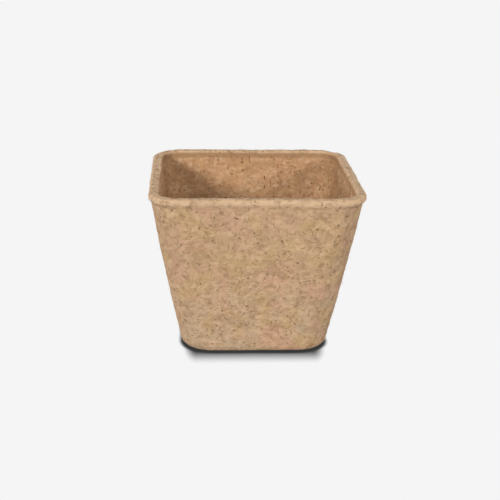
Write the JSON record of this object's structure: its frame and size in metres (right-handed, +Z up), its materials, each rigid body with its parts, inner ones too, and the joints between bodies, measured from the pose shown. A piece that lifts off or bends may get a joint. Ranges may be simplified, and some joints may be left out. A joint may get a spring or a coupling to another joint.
{
  "type": "peat pot",
  "caption": "Square tapered plant pot moulded in one piece from peat and wood fibre, with a thicker rim band and drain holes in its floor.",
  "frame": {"origin": "centre of the underside, on the surface that the pot stands on", "axes": "+Z up through the open mouth; X and Y square to the walls, with the front wall facing -Y"},
  "size_m": [0.08, 0.08, 0.064],
  "materials": {
    "peat_fibre": "rough fibre"
  },
  "bodies": {
    "root": {"moulded_pot": "peat_fibre"}
  },
  "joints": []
}
